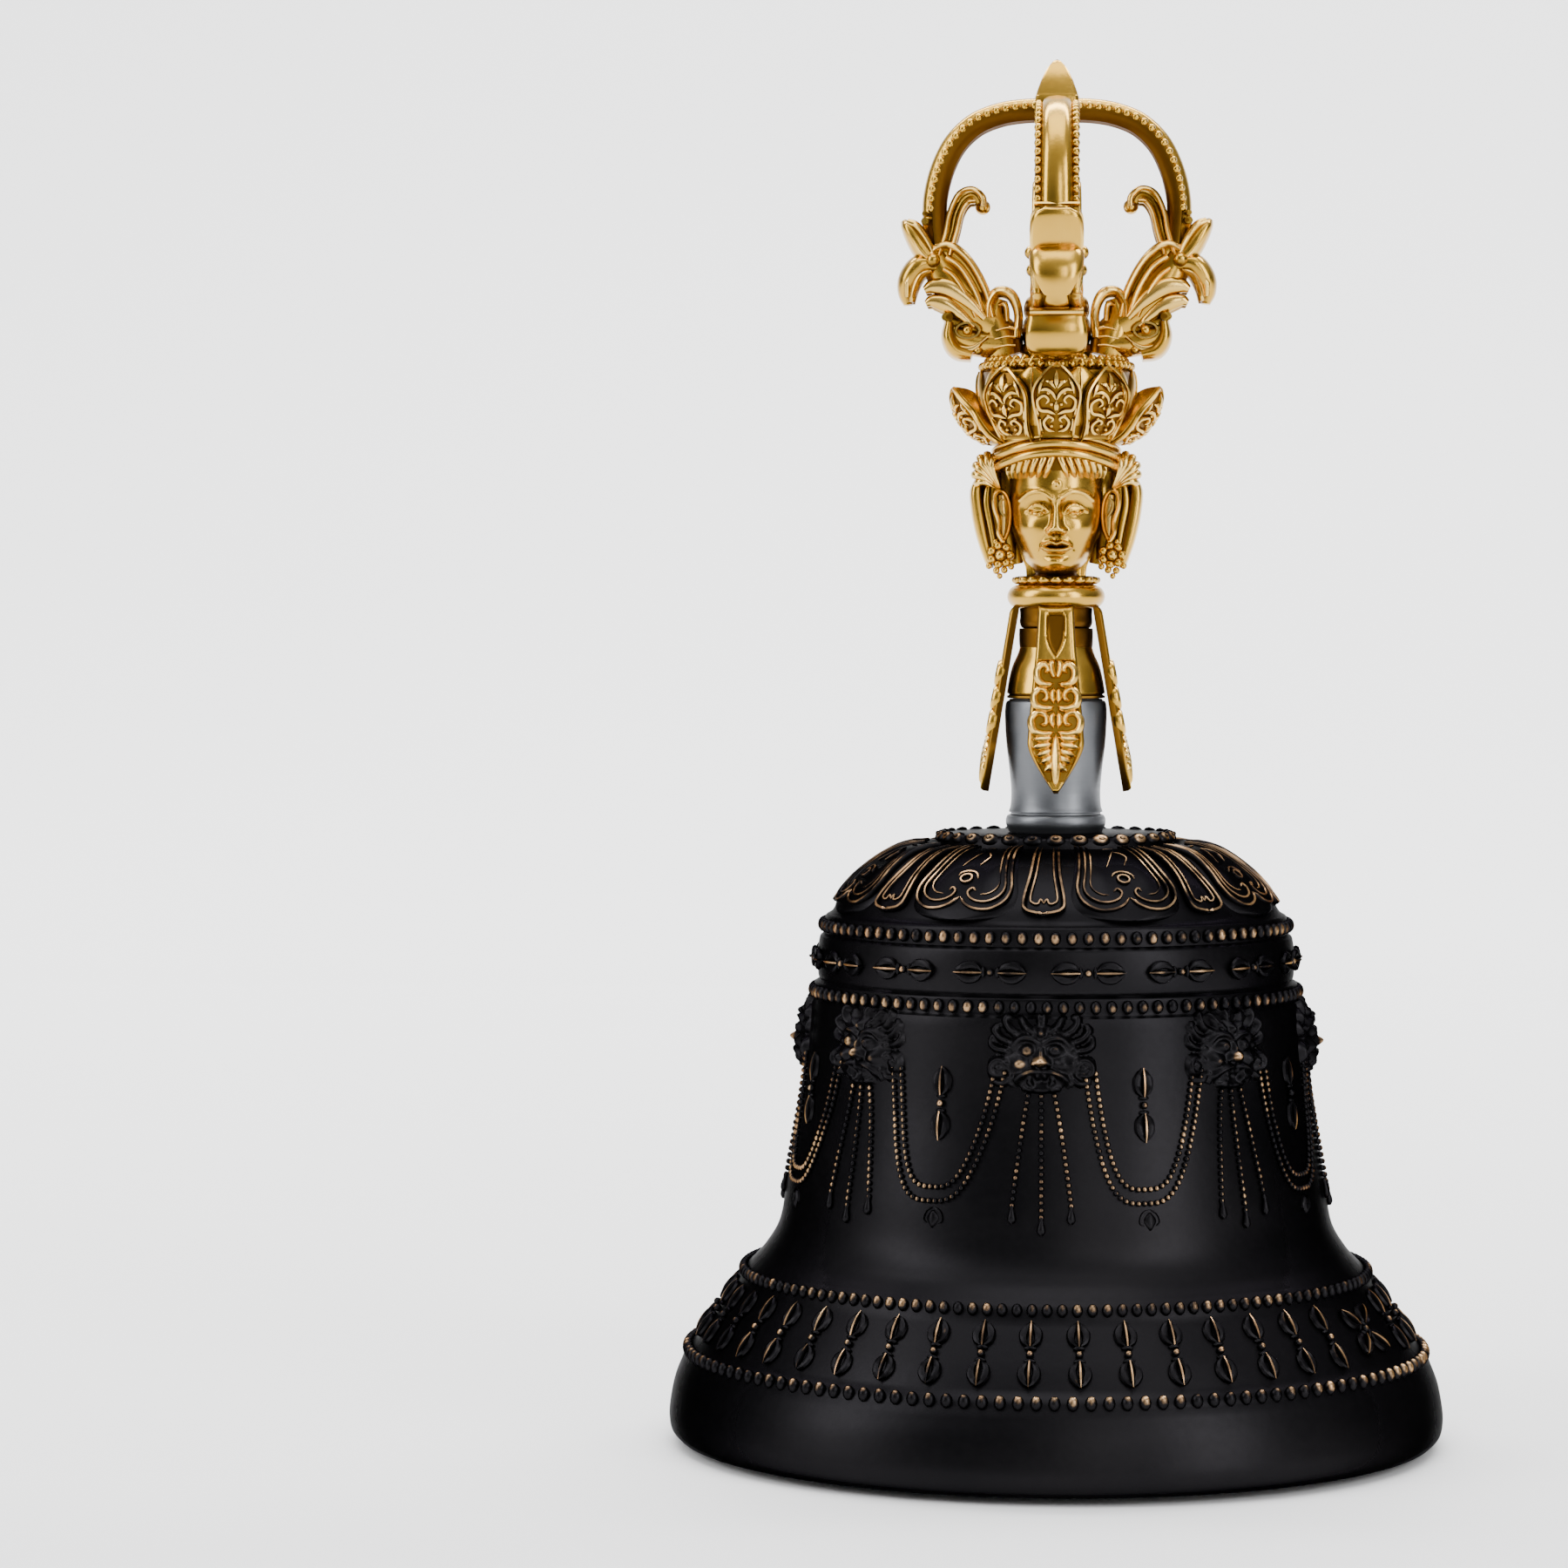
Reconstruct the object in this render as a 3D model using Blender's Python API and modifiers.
"""Tibetan hand bell (ghanta): a cast bell on a tie rod, under a stacked handle that ends in a four-prong half vajra.

Metres, +Z up. The origin is the centre of the bell's mouth, on the plane that the bell stands on, and -Y is the
side that the head looks to. Each object is one piece of the bell, with its material.
"""

from math import cos, pi, radians, sin

import bmesh
import bpy
from mathutils import Matrix

MM = 0.001
GAP = 0.3  # clearance between pieces that touch
BELL_STEPS = 48  # facets round the bell, a piece of the handle and a small fitting
HANDLE_STEPS = 28
FITTING_STEPS = 16
MERGE = 0.00001

# Driving dimensions, in millimetres.
MOUTH_RADIUS = 57.8
BELL_TOP = 90.0  # top face of the bell casting, where the handle stands
CROWN_CEILING = 85.7  # ceiling of the bell's hollow
ROD_RADIUS = 2.0
BORE = ROD_RADIUS + GAP

GRIP_TOP = 109.7
DOME_TOP = 120.4
COLLAR_BOTTOM = 123.4
COLLAR_TOP = 126.9
HEAD_TOP = 147.6
CROWN_TOP = 158.4
HUB_BOTTOM = 160.5
HUB_TOP = 169.4
TOTAL_HEIGHT = 205.0

LEAF_LENGTH = 27.4
LEAF_THICKNESS = 1.2
LEAF_LEAN = 9.4  # degrees that each leaf leans out from the handle

PRONG_BASE = 180.4  # where a prong leaves its makara's mouth
PRONG_TOP = 199.0
PRONG_REACH = 20.3
PRONG_WIDTH = 5.8
PRONG_DEPTH = 4.2
PRONG_INNER = 3.2  # nearest that a prong comes to the axis
MAKARA_WIDTH = 7.8

WASHER_BOTTOM = 84.3
NUT_TOP = 84.0
NUT_BOTTOM = 76.0
ROD_END = 79.7
EYE_RING = 2.7  # middle radius of the two linked eyes
EYE_WIRE = 0.85
EYE_CENTRE = 71.9
PIVOT_HEIGHT = EYE_CENTRE - EYE_RING
LINK_GAP = 0.1
STEM_RADIUS = 1.5
STEM_END = 31.2
STRIKER_RADIUS = 8.4
STRIKER_BOTTOM = 5.7

SIDES = {"front": -90, "right": 0, "back": 90, "left": 180}  # azimuth of each side from +X


def clear_scene():
    for obj in list(bpy.data.objects):
        bpy.data.objects.remove(obj, do_unlink=True)


def new_collection(name):
    made = bpy.data.collections.new(name)
    bpy.context.scene.collection.children.link(made)
    return made


def metal(name, colour, roughness):
    made = bpy.data.materials.new(name)
    made.use_nodes = True
    shader = made.node_tree.nodes["Principled BSDF"]
    shader.inputs["Base Color"].default_value = (*colour, 1)
    shader.inputs["Metallic"].default_value = 1.0
    shader.inputs["Roughness"].default_value = roughness
    made.diffuse_color = (*colour, 1)
    return made


def arc(centre_r, centre_z, radius, start, end, count):
    """Points on an arc in the (r, z) plane, angles in degrees from +r towards +z."""
    angles = [radians(start + (end - start) * i / (count - 1)) for i in range(count)]
    return [(centre_r + radius * cos(a), centre_z + radius * sin(a)) for a in angles]


def bored(outer, bore=BORE):
    """Profile of a piece with a straight bore, from its outer side, top to bottom."""
    return [(bore, outer[0][1]), *outer, (bore, outer[-1][1])]


def solid(outer):
    """Profile of a piece with no bore: its ends run in to the axis."""
    return [(0, outer[0][1]), *outer, (0, outer[-1][1])]


def lathe(name, profile, material, steps=HANDLE_STEPS, ring=True):
    """A turned piece. The profile is (r, z) in millimetres; a ring's profile closes on itself."""
    count = len(profile)
    edges = [(i, i + 1) for i in range(count - 1)] + ([(count - 1, 0)] if ring else [])
    mesh = bpy.data.meshes.new(name)
    mesh.from_pydata([(r * MM, 0, z * MM) for r, z in profile], edges, [])
    mesh.materials.append(material)
    obj = bpy.data.objects.new(name, mesh)
    BELL.objects.link(obj)
    screw = obj.modifiers.new("Turned", "SCREW")
    screw.axis = "Z"
    screw.steps = screw.render_steps = steps
    screw.use_merge_vertices = True
    screw.merge_threshold = MERGE
    screw.use_smooth_shade = True
    return obj


def plate(name, outline, thickness, material, edge, handles="VECTOR"):
    """A flat piece: an outline in the local XY plane, thickened both ways, with rounded edges.

    Each point of the outline is (x, y) in millimetres, or (x, y, handle type) where the outline is curved.
    """
    curve = bpy.data.curves.new(name, "CURVE")
    curve.dimensions = "2D"
    curve.fill_mode = "BOTH"
    curve.extrude = (thickness / 2 - edge) * MM
    curve.bevel_depth = edge * MM
    curve.bevel_resolution = 0
    curve.offset = -edge * MM
    curve.resolution_u = 3
    spline = curve.splines.new("BEZIER")
    spline.bezier_points.add(len(outline) - 1)
    for point, (x, y, *own) in zip(spline.bezier_points, outline):
        point.co = (x * MM, y * MM, 0)
        point.handle_left_type = point.handle_right_type = own[0] if own else handles
    spline.use_cyclic_u = True
    curve.materials.append(material)
    obj = bpy.data.objects.new(name, curve)
    BELL.objects.link(obj)
    return obj


def from_bmesh(name, shape, material, collection):
    mesh = bpy.data.meshes.new(name)
    shape.to_mesh(mesh)
    shape.free()
    mesh.materials.append(material)
    mesh.shade_smooth()
    obj = bpy.data.objects.new(name, mesh)
    collection.objects.link(obj)
    return obj


def eye(name, height, turn_axis, material):
    """Helper ring of wire with its centre on the bell's axis, turned up on its edge."""
    bpy.ops.mesh.primitive_torus_add(
        major_radius=EYE_RING * MM, minor_radius=EYE_WIRE * MM, major_segments=20, minor_segments=8,
    )
    obj = bpy.context.object
    obj.name = obj.data.name = name
    for owner in list(obj.users_collection):
        owner.objects.unlink(obj)
    HELPERS.objects.link(obj)
    obj.data.materials.append(material)
    obj.data.shade_smooth()
    obj.matrix_world = Matrix.Translation((0, 0, height * MM)) @ Matrix.Rotation(pi / 2, 4, turn_axis)
    return obj


def unite(target, helpers):
    for helper in helpers:
        helper.hide_render = True
        helper.display_type = "WIRE"
        union = target.modifiers.new(helper.name, "BOOLEAN")
        union.operation = "UNION"
        union.object = helper


def build_bell():
    """Cast bell: flat top, round shoulder, two banded rings, waist, flare and thick lip, hollow below."""
    outer = [
        (16.7, BELL_TOP), (17.5, 89.3), (17.7, 88.2), (19.6, 88.0), (24.5, 86.9), (28.6, 84.1), (31.7, 80.9),
        (33.8, 77.6), (35.0, 76.2), (35.2, 75.0), (35.0, 73.7), (36.0, 71.4), (35.8, 68.0), (36.4, 66.0),
        (36.4, 64.6), (36.8, 62.6), (37.4, 55.0), (38.6, 46.5), (40.1, 38.0), (41.1, 32.4), (43.4, 28.2),
        (46.2, 24.6), (48.9, 21.2), (51.8, 16.8), (53.7, 13.8), (56.1, 10.8), (57.2, 7.4),
        (MOUTH_RADIUS, 2.8), (57.5, 0.9), (56.6, 0),
    ]
    inner = [
        (51.7, 0), (51.0, 0.8), (50.7, 3.2), (50.2, 8.4), (48.9, 12.8), (45.8, 18.0), (42.1, 23.7),
        (39.3, 28.6), (38.0, 33.2), (37.0, 39.0), (35.6, 48.4), (34.6, 56.8), (33.8, 64.0), (32.6, 71.0),
        (30.7, 76.0), (26.8, 81.2), (21.6, 84.6), (14.7, CROWN_CEILING),
    ]
    lathe("bell_body", [(BORE, BELL_TOP), *outer, *inner, (BORE, CROWN_CEILING)], BLACK, BELL_STEPS)


def build_grip():
    """Grey waisted grip on a foot ring, under a gilt dome."""
    foot_top = 92.7
    lathe("grip_foot", bored([(7.0, foot_top), (7.4, 92.1), (7.4, 91.0), (7.1, BELL_TOP + GAP)]), GREY)
    waist = [(7.3, GRIP_TOP), (7.6, 107.4), (7.4, 103.4), (6.9, 99.6), (6.6, 96.2), (6.7, 94.0)]
    lathe("grip_sleeve", bored([*waist, (7.0, foot_top + GAP)]), GREY)
    dome_radius = 7.3
    dome_base = GRIP_TOP + GAP
    spindle = 4.8  # the dome draws up to a short spindle under the neck ring
    shell = [(spindle + (dome_radius - spindle) * cos(a), dome_base + 7.6 * sin(a))
             for a in (radians(90 - 18 * i) for i in range(6))]
    lathe("dome_cap", bored([(spindle, DOME_TOP), *shell]), BRASS)


def build_collar():
    lathe("neck_ring", bored([(5.3, COLLAR_BOTTOM - GAP), (5.3, DOME_TOP + GAP)]), BRASS)
    half = (COLLAR_TOP - COLLAR_BOTTOM) / 2
    lathe("collar", bored(arc(7.2 - half, COLLAR_BOTTOM + half, half, 90, -90, 7)), BRASS)


def build_leaves():
    """Four long leaves hang from the collar round the grip and lean outwards."""
    half_outline = [(2.6, 0), (2.9, 5.0), (3.6, 12.5), (4.1, 18.5), (4.0, 21.6), (3.1, 24.2), (1.0, LEAF_LENGTH)]
    outline = [(-w, -d) for w, d in half_outline] + [(w, -d) for w, d in reversed(half_outline)]
    top_radius = 6.4
    for side, azimuth in SIDES.items():
        leaf = plate(f"leaf_{side}", outline, LEAF_THICKNESS, BRASS, edge=0.3)
        leaf.matrix_world = (
            Matrix.Rotation(radians(azimuth + 90), 4, "Z")
            @ Matrix.Translation((0, -top_radius * MM, (COLLAR_BOTTOM - GAP) * MM))
            @ Matrix.Rotation(radians(90 - LEAF_LEAN), 4, "X")
        )


def build_head():
    """A turned core with its neck, a diadem band round the brow, and a plaited tress down each side."""
    core = [(7.4, HEAD_TOP), (8.3, 145.0), (8.4, 141.5), (8.3, 137.2), (7.8, 133.5), (6.9, 130.8), (6.2, 129.4),
            (6.3, COLLAR_TOP + GAP)]
    lathe("head", bored(core), BRASS)
    lathe("diadem_band", [(8.8, 146.8), (9.8, 146.4), (10.0, 145.0), (9.7, 143.8), (8.8, 143.6)], BRASS)
    tress = [(2.7, 128.0), (3.3, 131.4), (3.0, 137.7), (3.4, 141.0), (2.6, 143.2)]
    outline = [(-w, z) for w, z in tress] + [(w, z) for w, z in reversed(tress)]
    for side in ("left", "right"):
        piece = plate(f"side_tress_{side}", outline, 2.6, BRASS, edge=0.6)
        piece.rotation_euler = (pi / 2, 0, pi / 2)
        piece.location.x = (1 if side == "right" else -1) * 10.2 * MM


def build_crown():
    """Lotus crown: a cup with ten petals, the side ones leaning out further, and a bead ring on top."""
    crown = lathe("lotus_crown", bored([(9.8, CROWN_TOP), (10.9, 157.3), (11.2, 153.6), (10.3, 150.2), (9.3, 148.0)]),
                  BRASS)
    helpers = []
    for i in range(10):
        radius, height, lean = (12.2, 152.6, 38) if i in (2, 3, 7, 8) else (11.7, 153.6, 14)
        shape = bmesh.new()
        bmesh.ops.create_uvsphere(shape, u_segments=8, v_segments=6, radius=MM)
        shape.transform(
            Matrix.Rotation(radians(36 * i - 90), 4, "Z")
            @ Matrix.Translation((radius * MM, 0, height * MM))
            @ Matrix.Rotation(radians(lean), 4, "Y")
            @ Matrix.Diagonal((1.5, 4.1, 5.4, 1))
        )
        helpers.append(from_bmesh(f"petal_{i}", shape, BRASS, HELPERS))
    unite(crown, helpers)
    ring_half = 0.75
    ring_middle = CROWN_TOP + GAP + ring_half
    lathe("bead_ring", bored(arc(11.4 - ring_half, ring_middle, ring_half, 90, -90, 5)), BRASS)


def prong_outline():
    """Outer then inner edge of a prong, a quarter of a superellipse from the makara's mouth to the tip."""
    fullness = 0.62
    steps = 12
    edges = []
    for reach, top in ((PRONG_REACH, PRONG_TOP), (PRONG_REACH - PRONG_DEPTH, PRONG_TOP - PRONG_DEPTH)):
        rise = top - PRONG_BASE - GAP
        turns = [pi / 2 * i / steps for i in range(steps + 1)]
        edge = [(reach * cos(t) ** fullness, PRONG_BASE + GAP + rise * sin(t)) for t in turns]
        edges.append([(r, z) for r, z in edge if r > PRONG_INNER] + [(PRONG_INNER, top)])
    return edges[0] + edges[1][::-1]


def build_vajra():
    """Hub, centre prong and spear tip, with four makara heads that each hold a curved prong in their mouths."""
    rod_hole_top = 166.7
    hub = [(4.5, HUB_TOP), (4.9, HUB_TOP - 0.6), (4.9, HUB_BOTTOM)]
    lathe("vajra_hub", [(0, HUB_TOP), *hub, (BORE, HUB_BOTTOM), (BORE, rod_hole_top), (0, rod_hole_top)], BRASS,
          ring=False)
    neck = 196.0
    spindle = [(2.4, neck), (2.7, 193.4), (2.2, 184.0), (2.5, 174.5), (3.8, 170.3), (3.8, HUB_TOP + GAP)]
    lathe("centre_prong", solid(spindle), BRASS, FITTING_STEPS, ring=False)
    spear = [(1.6, 203.4), (2.7, 201.6), (3.9, 199.6), (3.6, 199.3), (2.6, 198.6), (2.3, neck + GAP)]
    tip = lathe("vajra_tip", [(0, TOTAL_HEIGHT), *spear, (0, neck + GAP)], BRASS, 4, ring=False)
    tip.rotation_euler.z = pi / 4
    smooth = "AUTO"
    makara = [
        (5.3, 160.8), (11.0, 160.7, smooth), (16.0, 161.6, smooth), (16.9, 164.4, smooth), (19.4, 167.6, smooth),
        (22.0, 167.2), (23.2, 170.6, smooth), (21.5, 175.4), (23.4, 180.2), (20.6, 180.0), (15.4, 180.0),
        (14.6, 185.0), (12.6, 185.3, smooth), (10.5, 183.2, smooth), (10.9, 181.8), (13.0, 182.4, smooth),
        (14.0, 180.2, smooth), (13.7, 177.3, smooth), (12.3, 175.2, smooth), (10.4, 171.0),
        (8.0, 170.8, smooth), (5.3, 168.7),
    ]
    for side, azimuth in SIDES.items():
        head = plate(f"makara_{side}", makara, MAKARA_WIDTH, BRASS, edge=0.3)
        prong = plate(f"prong_{side}", prong_outline(), PRONG_WIDTH, BRASS, edge=0.5)
        for piece in (head, prong):
            piece.rotation_euler = (pi / 2, 0, radians(azimuth))


def build_fixing():
    """Tie rod, washer, and the hanger nut that clamps the bell and holds the swivel eye."""
    rod_top = 166.4
    rod = [(ROD_RADIUS - 0.3, rod_top), (ROD_RADIUS, rod_top - 0.4), (ROD_RADIUS, ROD_END)]
    lathe("tie_rod", solid(rod), STEEL, FITTING_STEPS, ring=False)
    lathe("bell_washer", bored([(7.4, CROWN_CEILING - GAP), (7.4, WASHER_BOTTOM)]), STEEL)
    hex_side = [(5.7, NUT_TOP), (6.1, NUT_TOP - 0.4), (6.1, NUT_BOTTOM + 0.4), (5.7, NUT_BOTTOM)]
    shank_hole = 1.4
    chamber_radius = 2.7
    chamber_floor = NUT_BOTTOM + 1.5
    chamber_top = ROD_END - 0.3
    inside = [(shank_hole, NUT_BOTTOM), (shank_hole, chamber_floor), (chamber_radius, chamber_floor),
              (chamber_radius, chamber_top), (BORE, chamber_top), (BORE, NUT_TOP)]
    lathe("hanger_nut", hex_side + inside, STEEL, 6)


def build_clapper():
    """A headed swivel eye that turns in the hanger nut, and a stem and striker that swing in it."""
    eye_top = EYE_CENTRE + EYE_RING - 0.1
    head_bottom = NUT_BOTTOM + 1.5 + GAP
    pin = [(1.9, head_bottom + 1.0), (2.1, head_bottom + 0.8), (2.1, head_bottom), (1.05, head_bottom),
           (1.05, eye_top)]
    swivel = lathe("swivel_eye", solid(pin), STEEL, FITTING_STEPS, ring=False)
    unite(swivel, [eye("swivel_ring", EYE_CENTRE, "X", STEEL)])

    hang = PIVOT_HEIGHT + 2 * EYE_WIRE + LINK_GAP - EYE_RING
    stem_top = hang - EYE_RING
    shaft = [(STEM_RADIUS - 0.3, stem_top), (STEM_RADIUS, stem_top - 2.0), (STEM_RADIUS, STEM_END)]
    stem = lathe("clapper_stem", solid(shaft), BRASS, FITTING_STEPS, ring=False)
    unite(stem, [eye("stem_ring", hang, "Y", BRASS)])

    socket = STEM_RADIUS + GAP
    neck = [(socket, 40.0), (3.0, 40.0), (3.5, 38.9), (3.0, 37.6), (3.6, STEM_END), (4.9, 24.8)]
    bulb = arc(0, STRIKER_BOTTOM + STRIKER_RADIUS, STRIKER_RADIUS, 38, -90, 11)[:-1]
    floor = STEM_END - GAP
    striker = [(0, floor), (socket, floor), *neck, *bulb, (0, STRIKER_BOTTOM)]
    lathe("clapper_head", striker, BRASS, HANDLE_STEPS, ring=False)


clear_scene()
BELL = new_collection("tibetan_bell")
HELPERS = new_collection("helpers")
BLACK = metal("black_bronze", (0.018, 0.018, 0.02), 0.42)
BRASS = metal("gilt_brass", (0.83, 0.58, 0.22), 0.28)
GREY = metal("grey_steel", (0.16, 0.17, 0.18), 0.4)
STEEL = metal("plain_steel", (0.45, 0.45, 0.46), 0.35)
build_bell()
build_grip()
build_collar()
build_leaves()
build_head()
build_crown()
build_vajra()
build_fixing()
build_clapper()
